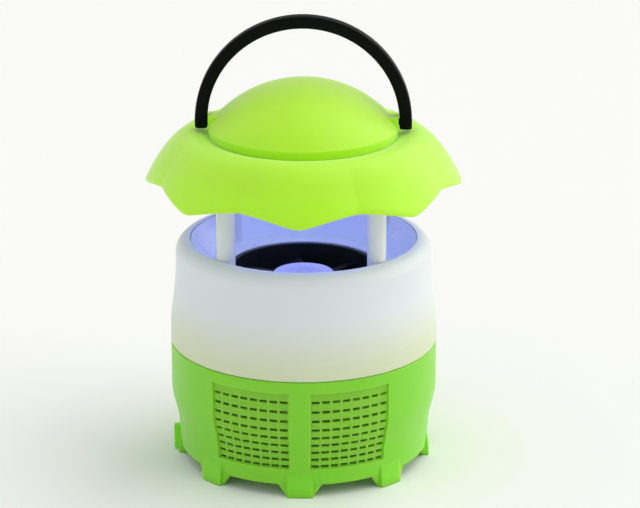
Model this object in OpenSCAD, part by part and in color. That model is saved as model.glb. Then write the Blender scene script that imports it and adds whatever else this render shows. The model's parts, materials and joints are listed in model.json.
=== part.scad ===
// A light-and-suction insect trap: a lit intake under a lobed cap, a fan in the housing's deck,
// and a grilled basket that twists off below. A bail handle folds over the cap.
// Millimetres, +Z up, origin on the surface it stands on, front towards -Y.
// Angles round the trap are measured from the front, turning towards +X.

/* [Housing] */
// Outer diameter where the housing meets the basket
body_d = 130; // [126:1:160]
// Height of the seam between the basket and the housing
seam_z = 60.5; // [54:0.5:62]
// Height of the rim round the intake
rim_z = 112; // [110:0.5:116]
// Radius of the rounded shoulder
shoulder_r = 7; // [5:0.5:8]
// Thickness of the rim's lip
lip_t = 3.8; // [3:0.1:4.5]
// Gap between the posts and the rim
rim_clear = 0.14; // [0.12:0.01:1]
// Wall thickness of the housing, the funnel and the basket
wall = 2.2; // [1.8:0.02:2.7]

/* [Intake] */
// Height of the deck that carries the fan
deck_z = 97; // [96:0.5:100]
// How far the funnel's cone runs in from the rim
funnel_in = 9.2; // [7:0.1:11]
// Diameter of each post
post_d = 9; // [7:0.1:11]
// Number of posts
post_count = 4; // [4:1:4]
// Height of the underside of the lamp plate
plate_z = 150; // [140:1:190]
// Thickness of the lamp plate
plate_t = 2.4; // [2:0.1:3]
// How far the lamp plate reaches past the brim's collar
plate_out = 7; // [4:0.5:8]

/* [Cap] */
// Number of petals round the brim
petal_count = 8; // [6:1:10]
// How far the petals' tips reach past the brim's crest
brim_out = 23.2; // [20:0.2:28]
// How far the brim's crest lies outside the crown's foot
crest_out = 7.4; // [6.4:0.2:9]
// Height of the petals' crest over the lamp plate's top
crest_h = 13; // [12:0.5:16]
// Drop from the crest to the top of the lip at a petal's tip
tip_drop = 24.2; // [20:0.2:28]
// Drop from the crest to the top of the lip between two petals
notch_drop = 19.3; // [16:0.1:22]
// Height of the brim's vertical lip
lip_h = 1.8; // [1.2:0.1:2.4]
// How far the brim draws in between two petals, as a share of its overhang
notch_pinch = 0.08; // [0:0.01:0.15]
// Wall thickness of the cap
cap_wall = 2.2; // [1.8:0.02:2.7]
// Diameter of the crown at its foot
crown_d = 91.2; // [88:0.2:112]
// Height of the crown's upright foot
crown_foot_h = 4.2; // [3.5:0.1:5]
// Height of the dome's top above the crown's foot
dome_h = 26.4; // [24:0.2:30]

/* [Handle] */
// Gap between the handle and each of the crown's ears
handle_gap = 0.4; // [0.3:0.05:1]
// Radial thickness of the arch
handle_t = 6.05; // [4:0.05:7]
// Width of the handle's strip
handle_w = 7; // [5:0.5:8]
// Diameter of the handle's round ends
handle_end_d = 8; // [7:0.5:9]
// Height of the pivots above the crown's foot
pivot_h = 6.4; // [6.4:0.1:8]
// Diameter of the pivot pins
pivot_pin_d = 3.2; // [2.4:0.02:4]
// Length of each pivot pin inside the crown's ear
pivot_pin_l = 5; // [4:0.5:6]
// Radial clearance of a pin in its bore
pin_clear = 0.05; // [0.02:0.01:0.1]

/* [Fan] */
// Pitch of the fan's screw holes
fan_pitch = 71.5; // [71:0.5:76]
// How far the fan's square flange reaches past its holes' pitch
fan_edge = 8.5; // [7:0.5:9]
// Depth of the fan under the deck
fan_depth = 25; // [22:0.5:26]
// Thickness of the fan's flange
fan_flange_t = 3.2; // [2.5:0.1:4]
// Bore of the fan
fan_bore_d = 68.8; // [56:0.2:68.8]
// Wall thickness of the fan's barrel
fan_wall = 2.5; // [1.6:0.1:2.5]
// How far the fan's collar stands below the deck's top face
fan_collar_drop = 0.6; // [0.2:0.1:1]
// Diameter of the hub
hub_d = 29.8; // [28:0.2:32]
// Number of blades
blade_count = 7; // [5:1:9]
// Thickness of each blade
blade_t = 1.5; // [1:0.1:2]
// Gap between a blade's tip and the bore
tip_gap = 0.7; // [0.5:0.1:1]
// Diameter of the rotor's shaft
shaft_d = 3; // [2:0.1:3.2]
// Radial clearance of the shaft in its sleeve
shaft_clear = 0.03; // [0.02:0.01:0.08]

/* [Lamp] */
// Width of the lamp board's ring
led_board_w = 13; // [10:0.5:15]
// Thickness of each circuit board
board_t = 1.6; // [1:0.1:2]
// Number of lamps
led_count = 8; // [4:1:12]
// Diameter of each lamp
led_d = 5; // [3:0.5:6]
// Height of each lamp below its board
led_h = 6.6; // [5:0.1:8]

/* [Basket] */
// Diameter of the skirt at its lower edge
skirt_d = 121; // [116:1:150]
// Height of the skirt's lower edge
skirt_z = 6.4; // [5:0.1:8]
// Height of the underside of the floor
floor_z = 9; // [8:0.5:12]
// How far the feet's pads stand out from the skirt
foot_proud = 1.6; // [1:0.1:2]
// Number of feet
foot_count = 8; // [6:1:8]
// Width of each foot on the surface
foot_w = 12.4; // [10:0.2:14]
// Width of each foot's root at the skirt
foot_root_w = 21.2; // [18:0.2:24]
// Height of each foot's pad
foot_pad_h = 12; // [9:0.5:14]
// Height of the grilles' lower edge
grille_low_z = 14.5; // [14:0.1:22]
// Height of the grilles' upper edge
grille_high_z = 54.5; // [50:0.1:55]
// Depth of the grilles below the wall
grille_depth = 1; // [0.6:0.1:1.2]
// Half of the rib between two grilles, in degrees
grille_rib = 4.6; // [3:0.1:6]
// Number of slots across a grille
slot_columns = 8; // [6:1:9]
// Number of slots up a grille
slot_rows = 9; // [6:1:9]
// Width of each slot
slot_w = 3.7; // [2.5:0.1:3.8]
// Height of each slot
slot_h = 1.4; // [1:0.1:1.6]
// Height of the neck that enters the housing
neck_h = 7.5; // [7:0.1:9]
// Radial clearance of the neck in the housing
neck_clear = 0.35; // [0.3:0.05:0.5]
// How far the finger tab stands out from the skirt
tab_out = 3.9; // [2:0.1:5]

/* [Bayonet] */
// Number of lugs
lug_count = 4; // [3:1:4]
// Angle that each lug takes
lug_angle = 6; // [4:0.5:8]
// Height of each lug
lug_h = 2.4; // [2:0.1:3]
// Twist that frees the basket
twist_angle = 15; // [10:1:20]
// Clearance round each lug in its slot
lug_clear = 0.35; // [0.3:0.05:0.5]

/* [Electrics] */
// Height of the middle of the rear panel
panel_z = 78; // [77:0.5:80]
// Width of the rear panel's flat
panel_w = 35; // [34:0.5:38]
// Height of the rear panel's flat
panel_h = 15; // [14:0.5:16]
// How far the flat lies inside the wall at the panel's upper edge
panel_sink = 1.5; // [1.2:0.1:2]
// Bore of the power socket
socket_bore_d = 6.3; // [5.5:0.1:6.5]
// Diameter of the power socket's nose
socket_nose_d = 8; // [7.6:0.1:9]
// Diameter of the socket's centre pin
socket_pin_d = 2; // [1.6:0.1:2.5]
// Distance of the socket and the switch from the panel's middle
panel_offset = 8.8; // [8.6:0.1:9.4]
// Width of the switch's body
switch_w = 12.8; // [12:0.1:13]
// Height of the switch's body
switch_h = 8.2; // [7.6:0.1:9]
// Tilt of the rocker each way from the middle
rocker_tilt = 8; // [6:0.5:10]
// Diameter of the lamp's lead
lamp_lead_d = 2.8; // [2:0.1:3]
// Diameter of the fan's lead
fan_lead_d = 2; // [1.4:0.1:2]

/* [Fits] */
// Radial clearance of pieces that seat in each other
seat_clear = 0.1; // [0.05:0.01:0.2]
// Clearance of a screw in its hole
screw_clear = 0.05; // [0.02:0.01:0.1]
// Gap between the basket's shoulder and the housing
seam_gap = 0.3; // [0.3:0.05:0.5]

/* [Hidden] */
$fn = 96;
slop = 0.5; // how far a cutter runs past the face it cuts

body_r = body_d / 2;
post_r = fan_pitch / sqrt(2);
lip_r = post_r + post_d / 2 + rim_clear;
neck_r = lip_r + shoulder_r;
seat_z = rim_z - lip_t;
flare_low_z = seam_z + 6;
flare_high_z = rim_z - 12;

post_start = 180 / post_count;
wired_post = 2; // the post that carries the lamp's lead instead of screws
screwed_posts = [0, 1, 3];
spigot_d = 6; // the posts' lower ends, which plug into the funnel's bosses
spigot_l = 4;
post_screw_d = 3;
post_screw_l = 12;
fan_screw_d = 3.8;
fan_screw_l = 10;
fan_hole_d = 4.3;
lead_way_d = lamp_lead_d + 1.4;
deck_low_z = deck_z - wall;
funnel_r = lip_r - funnel_in;
cone_rise = rim_z - deck_z - 1;
cone_run = funnel_in - 1;
cone_skin = wall * sqrt(cone_run * cone_run + cone_rise * cone_rise) / cone_rise;

plate_top_z = plate_z + plate_t;
cup_wall = 1.2;
cup_h = 3;
led_board_r = post_r - post_d / 2 - seat_clear - cup_wall - 0.76;
led_ring_r = led_board_r - led_board_w / 2;

crown_r = crown_d / 2;
crest_r = crown_r + crest_out;
crest_z = plate_top_z + crest_h;
petal_r = crest_r + brim_out;
brim_power = 1.95;
cusp_power = 1.6;
petal_steps = 5;
brim_steps = 8;
under_steps = 3; // steps of the brim's underside that lie inside its collar
ledge_drop = 1.8;
ledge_z = crest_z - ledge_drop;
spigot_w = 2;
spigot_h = 2;
crown_foot_t = 2.5;
ledge_w = 3.9;
opening_r = crown_r - ledge_w;
collar_r = crest_r + 4;
collar_w = 2;
plate_r = collar_r + collar_w + plate_out;
lip_w = 1.6;

cap_h = dome_h - crown_foot_h;
dome_r = (crown_r * crown_r + cap_h * cap_h) / (2 * cap_h);
dome_z = ledge_z + dome_h - dome_r;
pivot_z = ledge_z + pivot_h;
ear_w = 10;
ear_l = 10;
ear_over_pin = 1.4;
ear_x = crown_r + 0.05;
boss_r = 4;
cap_screw_count = 4;
cap_screw_r = 24;
cap_screw_d = 2.8;
cap_screw_l = 12;

arch_r = ear_x + handle_gap;
arch_out_r = arch_r + handle_t;
arch_edge = 1.4;

fan_low_z = deck_low_z - fan_depth;
flange_low_z = deck_low_z - fan_flange_t;
fan_side = fan_pitch + fan_edge;
bore_r = fan_bore_d / 2;
collar_out_r = bore_r + 2;
hub_r = hub_d / 2;
seat_t = 2;
spoke_w = 3;
cup_low_z = fan_low_z + 5.2;
cap_t = 0.8;
hub_top_z = deck_z - 3.8;
cup_top_z = hub_top_z - cap_t;
cup_t = 1.8;
cup_wall_t = 1.3;
yoke_r = hub_r - cup_wall_t - 0.05;
yoke_t = 0.75;
magnet_r = yoke_r - yoke_t - 0.05;
magnet_t = 1.75;
air_gap = 0.5;
stator_r = magnet_r - magnet_t - air_gap;
sleeve_r = shaft_d / 2 + 1.5;
tube_r = sleeve_r + 1.2;
tube_top_z = cup_top_z - cup_t - 4;
stator_low_z = cup_low_z + 2;
stator_h = 8;
driver_t = 1.2;
driver_z = fan_low_z + seat_t + 0.8;
pole_count = 4;

floor_top_z = floor_z + wall;
skirt_r = skirt_d / 2;
feet_r = skirt_r + foot_proud;
waist_low_z = 18;
waist_high_z = 38;
waist_r = skirt_r + 1.1;
wall_steps = 8;
foot_flat_h = 4.5; // height up to which a foot's pad stands fully proud
basket_top_z = seam_z - seam_gap;
neck_out_r = body_r - wall - neck_clear;
neck_in_r = neck_out_r - wall;
sector = 360 / foot_count;
grille_sectors = [-1, 0, 3, 4];
slot_first_z = grille_high_z - 4.8;
slot_pitch_first = 4.9;
slot_pitch_last = 3.6;

lug_start = 22.5;
lug_z = seam_z + 2.8;
lug_in_r = neck_in_r + 0.3;

panel_t = 2.4;
board_half_w = 22;
board_low_z = panel_z - 12;
board_high_z = panel_z + 10;
board_boss_x = 18;
board_boss_z = panel_z + 6;
board_screw_d = 2;
board_screw_l = 7.4;
switch_depth = 10.8;
bezel_t = 1.2;
bezel_w = 1.2;
rocker_pin_r = 0.8;
rocker_half_w = 4.8;
rocker_h = 6.2;

lead_bend = 4;
lamp_lead_end = [-14, panel_z + 2]; // where the lead meets the board: x and z
lamp_lead_land_r = 38;
lamp_lead_run_z = plate_top_z + 5;
fan_lead_z = driver_z + driver_t / 2;

function smooth(t) = t <= 0 ? 0 : t >= 1 ? 1 : t * t * (3 - 2 * t);
function steps(n) = [for (i = [0 : n]) i / n];
function reversed(list) = [for (i = [len(list) - 1 : -1 : 0]) list[i]];
// Points of an arc in a profile, from one angle to another
function arc(r, z, radius, from, to, n = 6) =
    [for (t = steps(n)) [r + radius * cos(from + (to - from) * t), z + radius * sin(from + (to - from) * t)]];
// Outer radius of the housing and of the basket's wall at a height
function housing_r(z) = body_r - (body_r - neck_r) * smooth((z - flare_low_z) / (flare_high_z - flare_low_z));
function basket_r(z) = z < waist_low_z
    ? waist_r - (waist_r - skirt_r) * (waist_low_z - z) / (waist_low_z - skirt_z)
    : body_r - (body_r - waist_r) * smooth((waist_high_z - z) / (waist_high_z - waist_low_z));
panel_y = housing_r(panel_z + panel_h / 2) - panel_sink;
board_y = panel_y - 14.8;
rocker_y = panel_y - 2.4;
// Height of a row of slots: the rows close up towards the floor
function slot_z(row) = slot_first_z - row * slot_pitch_first
    + row * (row - 1) / 2 * (slot_pitch_first - slot_pitch_last) / (slot_rows - 2);

// Places a child that is drawn at the front at an angle round the trap
module turn(angle) rotate([0, 0, angle]) children();
// Places a child at each post
module at_posts(which = [0 : post_count - 1]) {
    for (i = which) turn(post_start + i * 360 / post_count) translate([0, -post_r, 0]) children();
}
// Places a child at each screw that holds the crown
module at_cap_screws() {
    for (i = [0 : cap_screw_count - 1])
        turn(i * 360 / cap_screw_count) translate([0, -cap_screw_r, 0]) children();
}
// A ring with flat ends
module ring(outer, inner, z, h) {
    translate([0, 0, z]) difference() {
        cylinder(r = outer, h = h);
        translate([0, 0, -slop]) cylinder(r = inner, h = h + 2 * slop);
    }
}
// A block that is centred across and starts at a height
module block(size, at) translate([at[0] - size[0] / 2, at[1], at[2]]) cube(size);
// A pan-head screw that points up from the underside of its head
module screw(d, l, head_r, head_h) {
    cylinder(d = d, h = l, $fn = 32);
    translate([0, 0, -head_h]) difference() {
        cylinder(r = head_r, h = head_h, $fn = 32);
        for (a = [0, 90]) rotate([0, 0, a]) translate([-head_r * 0.6, -0.35, -slop])
            cube([head_r * 1.2, 0.7, slop + head_h * 0.5]);
    }
}

// ---- Basket ----

// The basket's turned profile: skirt, wall, neck and floor
module basket_profile() {
    wall_heights = [for (t = steps(wall_steps)) waist_low_z + (waist_high_z - waist_low_z) * t];
    outside = [for (z = wall_heights) [basket_r(z), z]];
    inside = [for (z = reversed(wall_heights)) [basket_r(z) - wall, z]];
    polygon(concat(
        [[skirt_r, skirt_z]], outside,
        [[body_r, basket_top_z - 0.4], [body_r - 0.4, basket_top_z], [neck_out_r, basket_top_z],
         [neck_out_r, seam_z + neck_h], [neck_in_r, seam_z + neck_h], [neck_in_r, seam_z - 2.5],
         [body_r - wall, seam_z - 4.5]],
        inside,
        [[basket_r(floor_top_z) - wall, floor_top_z], [0, floor_top_z], [0, floor_z],
         [basket_r(floor_z) - wall, floor_z], [skirt_r - wall, skirt_z]]
    ));
}
// The band that sinks one grille below the wall
module grille_recess() {
    low = [grille_low_z, waist_low_z];
    waist = [for (t = steps(wall_steps)) if (t > 0) waist_low_z + (waist_high_z - waist_low_z) * t];
    heights = concat(low, waist, [grille_high_z]);
    rotate([0, 0, -90 + grille_rib]) rotate_extrude(angle = sector - 2 * grille_rib)
        polygon(concat(
            [for (z = heights) [basket_r(z) - grille_depth, z]],
            [[body_r + 3, grille_high_z], [body_r + 3, grille_low_z]]
        ));
}
module grille_slots() {
    pitch = (sector - 2 * grille_rib) / slot_columns;
    for (row = [0 : slot_rows - 1])
        for (column = [0 : slot_columns - 1])
            turn(grille_rib + (column + 0.5) * pitch)
                block([slot_w, wall + 3, slot_h], [0, -basket_r(slot_z(row)) - 1, slot_z(row) - slot_h / 2]);
}
// A foot: a root that spreads up to the skirt and a pad that stands proud of it and fades into the wall
module foot() {
    root_in_r = skirt_r - wall + 0.3;
    root_top_z = skirt_z + 1;
    intersection() {
        ring(skirt_r - 0.2, root_in_r, 0, floor_z);
        translate([0, -root_in_r + 2, 0]) rotate([90, 0, 0]) linear_extrude(wall + 6)
            polygon([
                [-foot_w / 2, 0], [foot_w / 2, 0], [foot_root_w / 2, skirt_z], [foot_root_w / 2, root_top_z],
                [-foot_root_w / 2, root_top_z], [-foot_root_w / 2, skirt_z]
            ]);
    }
    intersection() {
        rotate_extrude() polygon([
            [root_in_r, 0], [feet_r, 0], [feet_r, foot_flat_h], [basket_r(foot_pad_h) - 0.1, foot_pad_h],
            [root_in_r, foot_pad_h]
        ]);
        block([foot_w, wall + 6, foot_pad_h], [0, -feet_r - 1, 0]);
    }
}
// An L-shaped slot in the neck for one lug of the housing
module bayonet_slot() {
    side = lug_angle / 2 + lug_clear / neck_out_r * 180 / PI;
    module cut(from, to, low, high) {
        translate([0, 0, low]) rotate([0, 0, -90 + from]) rotate_extrude(angle = to - from)
            translate([neck_in_r - slop, 0]) square([wall + 2 * slop, high - low]);
    }
    low = lug_z - lug_clear;
    cut(-side - twist_angle, side, low, lug_z + lug_h + lug_clear);
    cut(-side - twist_angle, side - twist_angle, low, seam_z + neck_h + slop);
}
module collection_basket() {
    color("yellowgreen") difference() {
        union() {
            rotate_extrude() basket_profile();
            for (i = [0 : foot_count - 1]) turn(i * sector) foot();
            turn(-90) block([3, tab_out + wall, foot_pad_h], [0, -skirt_r - tab_out, 1]);
        }
        for (i = grille_sectors) turn(i * sector) {
            grille_recess();
            grille_slots();
        }
        for (i = [0 : lug_count - 1]) turn(lug_start + i * 360 / lug_count) bayonet_slot();
    }
}

// ---- Housing ----

// The housing's outside, from the seam to the rim's lip
function shoulder_end(inset) = inset == 0 ? 90 : asin((shoulder_r - lip_t) / (shoulder_r - inset));
function housing_outside(inset) = concat(
    [for (t = steps(8)) let (z = flare_low_z + (flare_high_z - flare_low_z) * t) [housing_r(z) - inset, z]],
    arc(lip_r, rim_z - shoulder_r, shoulder_r - inset, 0, shoulder_end(inset), inset == 0 ? 8 : 5)
);
module housing_solid() {
    rotate_extrude() polygon(concat([[0, seam_z], [body_r, seam_z]], housing_outside(0), [[0, rim_z]]));
}
module rear_panel_blanks() {
    blank = [panel_w + 4, body_r - panel_y + panel_t, panel_h + 3];
    intersection() {
        housing_solid();
        union() {
            block(blank, [0, panel_y - panel_t, panel_z - panel_h / 2 - 1.5]);
            for (x = [-board_boss_x, board_boss_x]) translate([x, board_y + board_t, board_boss_z])
                rotate([-90, 0, 0]) cylinder(r = 3, h = 20);
        }
    }
}
module upper_housing() {
    lug_run = body_r - wall + slop - lug_in_r;
    color("whitesmoke") difference() {
        union() {
            rotate_extrude() polygon(concat(
                [[body_r - 0.4, seam_z], [body_r, seam_z + 0.4]], housing_outside(0),
                [[lip_r, seat_z]], reversed(housing_outside(wall)), [[body_r - wall, seam_z]]
            ));
            rear_panel_blanks();
            for (i = [0 : lug_count - 1]) turn(lug_start + i * 360 / lug_count)
                translate([0, 0, lug_z]) rotate([0, 0, -90 - lug_angle / 2])
                    rotate_extrude(angle = lug_angle) translate([lug_in_r, 0]) square([lug_run, lug_h]);
        }
        block([panel_w, body_r - panel_y + slop, panel_h], [0, panel_y, panel_z - panel_h / 2]);
        translate([-panel_offset, panel_y - 8, panel_z]) rotate([-90, 0, 0])
            cylinder(d = socket_nose_d + 2 * seat_clear, h = 12);
        block([switch_w + 2 * seat_clear, 12, switch_h + 2 * seat_clear],
            [panel_offset, panel_y - 8, panel_z - switch_h / 2 - seat_clear]);
        for (x = [-board_boss_x, board_boss_x])
            translate([x, board_y, board_boss_z]) rotate([-90, 0, 0])
                cylinder(d = board_screw_d + 2 * screw_clear, h = board_screw_l + 1, $fn = 32);
    }
}

// The funnel, the deck and the bosses that the posts plug into, in one moulding
module intake_funnel() {
    flange_r = lip_r + (shoulder_r - wall) * cos(asin((shoulder_r - lip_t) / (shoulder_r - wall))) - 0.18;
    flange_t = 2.2;
    rim_r = lip_r - seat_clear;
    cone_at_flange = funnel_r + cone_skin + (seat_z - flange_t - deck_z) * cone_run / cone_rise;
    color("white") difference() {
        union() {
            rotate_extrude() polygon([
                [collar_out_r + 0.3, deck_low_z],
                [funnel_r + cone_skin - wall * cone_run / cone_rise, deck_low_z],
                [cone_at_flange, seat_z - flange_t], [flange_r, seat_z - flange_t], [flange_r, seat_z],
                [rim_r, seat_z], [rim_r, rim_z - 1], [rim_r - 0.4, rim_z - 0.6], [rim_r - 0.9, rim_z - 1],
                [funnel_r + 0.6, deck_z + 1], [funnel_r - 1.2, deck_z], [collar_out_r + 0.3, deck_z]
            ]);
            at_posts() translate([0, 0, deck_low_z]) cylinder(d = post_d, h = rim_z - deck_low_z, $fn = 48);
        }
        at_posts() translate([0, 0, rim_z - spigot_l - 0.2])
            cylinder(d = spigot_d + 2 * seat_clear, h = spigot_l + 0.2 + slop, $fn = 48);
        at_posts(screwed_posts) translate([0, 0, deck_low_z - slop])
            cylinder(d = fan_screw_d + 2 * screw_clear, h = fan_screw_l + 1 + slop, $fn = 32);
        at_posts([wired_post]) translate([0, 0, deck_low_z - slop])
            cylinder(d = lead_way_d, h = rim_z - deck_low_z, $fn = 32);
    }
}
module intake_posts() {
    color("white") difference() {
        at_posts() {
            translate([0, 0, rim_z]) cylinder(d = post_d, h = plate_z - rim_z, $fn = 48);
            translate([0, 0, rim_z - spigot_l]) cylinder(d = spigot_d, h = spigot_l + 1, $fn = 48);
        }
        at_posts(screwed_posts) translate([0, 0, plate_z - post_screw_l - 1])
            cylinder(d = post_screw_d + 2 * screw_clear, h = post_screw_l + 1 + slop, $fn = 32);
        at_posts([wired_post]) translate([0, 0, rim_z - spigot_l - slop])
            cylinder(d = lead_way_d, h = plate_z - rim_z + spigot_l + 2 * slop, $fn = 32);
    }
}

// ---- Lamp ----

module lamp_plate() {
    cup_r = post_d / 2 + seat_clear;
    through_h = plate_t + 2 * slop;
    color("white") difference() {
        union() {
            translate([0, 0, plate_z]) cylinder(r = plate_r, h = plate_t);
            at_posts() translate([0, 0, plate_z - cup_h]) cylinder(r = cup_r + cup_wall, h = cup_h + slop);
        }
        at_posts() translate([0, 0, plate_z - cup_h - slop]) cylinder(r = cup_r, h = cup_h + slop);
        at_posts(screwed_posts) translate([0, 0, plate_z - slop])
            cylinder(d = post_screw_d + 4 * screw_clear, h = through_h, $fn = 32);
        at_posts([wired_post]) for (shift = [0, post_r - lamp_lead_land_r])
            translate([0, shift, plate_z - slop]) cylinder(d = lead_way_d, h = through_h, $fn = 32);
        at_cap_screws() translate([0, 0, plate_z - slop])
            cylinder(d = cap_screw_d + 4 * screw_clear, h = through_h, $fn = 32);
    }
}
module led_board() {
    color("darkgreen") ring(led_board_r, led_board_r - led_board_w, plate_z - board_t, board_t);
}
module uv_leds() {
    dome = led_d / 2;
    color("mediumpurple") for (i = [0 : led_count - 1]) turn((i + 0.5) * 360 / led_count)
        translate([0, -led_ring_r, plate_z - board_t]) mirror([0, 0, 1]) rotate_extrude($fn = 32)
            polygon(concat([[0, 0], [dome + 0.4, 0], [dome + 0.4, 0.8], [dome, 0.8]],
                arc(0, led_h - dome, dome, 0, 90)));
}
module led_resistors() {
    color("dimgray") for (i = [0 : led_count - 1]) turn(i * 360 / led_count)
        block([3.2, 1.6, 0.6], [0, -led_ring_r, plate_z - board_t - 0.6]);
}

// ---- Cap ----

// How far an angle lies from the middle of its petal: 0 at the tip, 1 at the notch
function petal_side(angle) = let (a = angle * petal_count / 360) abs(a - round(a)) * 2;
// Height of the brim's edge below the crest: cusps at the tips, arches between them
function edge_drop(side) = notch_drop + (tip_drop - notch_drop) * pow(1 - side, cusp_power);
// Radius of the brim where it has dropped by some height
function brim_r(drop, side) = crest_r
    + (petal_r - crest_r) * pow(drop / tip_drop, 1 / brim_power) * (1 - notch_pinch * side * side);
// A point of the brim's top face, or of the face a wall's thickness under it
function brim_point(t, side, inset) =
    let (
        drop = edge_drop(side) * pow(t, brim_power),
        r = brim_r(drop, side),
        slope = -brim_power * drop / max(r - crest_r, 0.01),
        length = sqrt(1 + slope * slope)
    ) [r + inset * slope / length, crest_z - drop - inset / length];
// The brim's closed section at one angle
function brim_section(angle) =
    let (
        side = petal_side(angle),
        edge = brim_point(1, side, 0),
        low = edge[1] - lip_h
    ) concat(
        [[opening_r, ledge_z - cap_wall], [opening_r, ledge_z], [crown_r + 0.2, ledge_z]],
        [for (t = [0.25, 0.5, 0.75])
            [crown_r + 0.2 + (crest_r - crown_r - 0.2) * t, ledge_z + ledge_drop * sin(90 * t)]],
        [for (t = steps(brim_steps)) brim_point(t, side, 0)],
        [[edge[0], low], [edge[0] - lip_w, low]],
        [for (i = [brim_steps : -1 : under_steps]) let (p = brim_point(i / brim_steps, side, cap_wall))
            [min(max(p[0], collar_r + collar_w + 0.2), edge[0] - lip_w), p[1]]],
        [[collar_r + collar_w, plate_top_z], [collar_r, plate_top_z], [collar_r, ledge_z - cap_wall]]
    );
module petal_skirt() {
    rings = petal_count * petal_steps * 2;
    sections = [for (i = [0 : rings - 1]) brim_section(i * 360 / rings)];
    n = len(sections[0]);
    points = [for (i = [0 : rings - 1]) for (p = sections[i])
        [p[0] * sin(i * 360 / rings), -p[0] * cos(i * 360 / rings), p[1]]];
    faces = [for (i = [0 : rings - 1]) for (j = [0 : n - 1])
        let (next = (i + 1) % rings, k = (j + 1) % n) [i * n + j, i * n + k, next * n + k, next * n + j]];
    color("greenyellow") polyhedron(points, faces);
}
// The two ears that hold the handle's pins, over the whole height of the crown's foot
module crown_ears(length) {
    for (side = [-1, 1]) block([length, ear_w, pivot_h + pivot_pin_d / 2 + ear_over_pin],
        [side * (ear_x - length / 2), -ear_w / 2, ledge_z]);
}
module crown_hollow() {
    intersection() {
        translate([0, 0, dome_z]) sphere(r = dome_r - cap_wall);
        translate([0, 0, ledge_z + crown_foot_t]) cylinder(r = crown_r - cap_wall, h = dome_h);
    }
    translate([0, 0, ledge_z - 10]) cylinder(r = opening_r - spigot_w, h = 10 + 2 * crown_foot_t);
}
module crown() {
    color("greenyellow") difference() {
        union() {
            intersection() {
                translate([0, 0, dome_z]) sphere(r = dome_r);
                translate([0, 0, ledge_z]) cylinder(r = crown_r, h = dome_h + 1);
            }
            crown_ears(ear_l);
            translate([0, 0, ledge_z - spigot_h]) cylinder(r = opening_r - seat_clear, h = spigot_h + 1);
        }
        difference() {
            crown_hollow();
            crown_ears(ear_l + 2);
            at_cap_screws() translate([0, 0, plate_top_z])
                cylinder(r = boss_r, h = dome_h + crest_h, $fn = 48);
        }
        at_cap_screws() translate([0, 0, plate_top_z - slop])
            cylinder(d = cap_screw_d + 2 * screw_clear, h = cap_screw_l + slop, $fn = 32);
        translate([0, 0, pivot_z]) rotate([0, 90, 0])
            cylinder(r = pivot_pin_d / 2 + pin_clear, h = crown_d + 4, center = true, $fn = 48);
    }
}
module carry_handle() {
    end_r = handle_end_d / 2;
    w = handle_w / 2;
    color([0.04, 0.06, 0.04]) translate([0, 0, pivot_z]) {
        rotate([90, 0, 0]) rotate_extrude(angle = 180, $fn = 128)
            polygon(concat(
                arc(arch_out_r - arch_edge, w - arch_edge, arch_edge, 0, 90, 3),
                arc(arch_r + arch_edge, w - arch_edge, arch_edge, 90, 180, 3),
                arc(arch_r + arch_edge, arch_edge - w, arch_edge, 180, 270, 3),
                arc(arch_out_r - arch_edge, arch_edge - w, arch_edge, 270, 360, 3)
            ));
        for (side = [0, 180]) rotate([0, 90, side]) {
            translate([0, 0, arch_r]) cylinder(r = end_r, h = handle_t, $fn = 48);
            translate([0, 0, arch_r - pivot_pin_l]) cylinder(d = pivot_pin_d, h = pivot_pin_l + 1, $fn = 48);
        }
    }
}
module cap_screws() {
    color("silver") at_cap_screws() translate([0, 0, plate_z]) screw(cap_screw_d, cap_screw_l, 2.8, 1.8);
}
module post_screws() {
    color("silver") at_posts(screwed_posts) translate([0, 0, plate_top_z]) mirror([0, 0, 1])
        screw(post_screw_d, post_screw_l + plate_t, 3, 2);
}

// ---- Fan ----

module fan_frame() {
    corner = 6;
    inner = fan_side - 2 * corner;
    collar_h = deck_z - fan_collar_drop - deck_low_z;
    color([0.03, 0.04, 0.05]) difference() {
        union() {
            translate([0, 0, flange_low_z]) {
                translate([-inner / 2, -fan_side / 2, 0]) cube([inner, fan_side, fan_flange_t]);
                translate([-fan_side / 2, -inner / 2, 0]) cube([fan_side, inner, fan_flange_t]);
                for (x = [-1, 1]) for (y = [-1, 1]) translate([x * inner / 2, y * inner / 2, 0])
                    cylinder(r = corner, h = fan_flange_t);
            }
            translate([0, 0, fan_low_z]) cylinder(r = bore_r + fan_wall, h = fan_depth);
            translate([0, 0, deck_low_z - slop]) cylinder(r = collar_out_r, h = collar_h + slop);
        }
        difference() {
            translate([0, 0, fan_low_z - slop]) cylinder(r = bore_r, h = fan_depth + 10);
            translate([0, 0, fan_low_z]) cylinder(r = hub_r + 0.1, h = seat_t);
            for (a = [0, 90]) rotate([0, 0, a])
                translate([-fan_side / 2, -spoke_w / 2, fan_low_z]) cube([fan_side, spoke_w, seat_t]);
            ring(tube_r + 1.5, 0.5, fan_low_z, driver_z - fan_low_z);
            ring(tube_r, 0.5, fan_low_z, tube_top_z - fan_low_z);
        }
        translate([0, 0, fan_low_z + seat_t]) cylinder(r = sleeve_r + 0.02, h = 40, $fn = 48);
        at_posts() translate([0, 0, flange_low_z - slop])
            cylinder(d = fan_hole_d, h = fan_flange_t + 2 * slop, $fn = 32);
        translate([0, bore_r - 2, fan_lead_z]) rotate([-90, 0, 0])
            cylinder(d = fan_lead_d + 0.6, h = fan_wall + 4, $fn = 32);
    }
}
module fan_bearing() {
    low = fan_low_z + seat_t + 1.5;
    color("goldenrod") ring(sleeve_r, shaft_d / 2 + shaft_clear, low, tube_top_z - low, $fn = 48);
}
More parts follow.
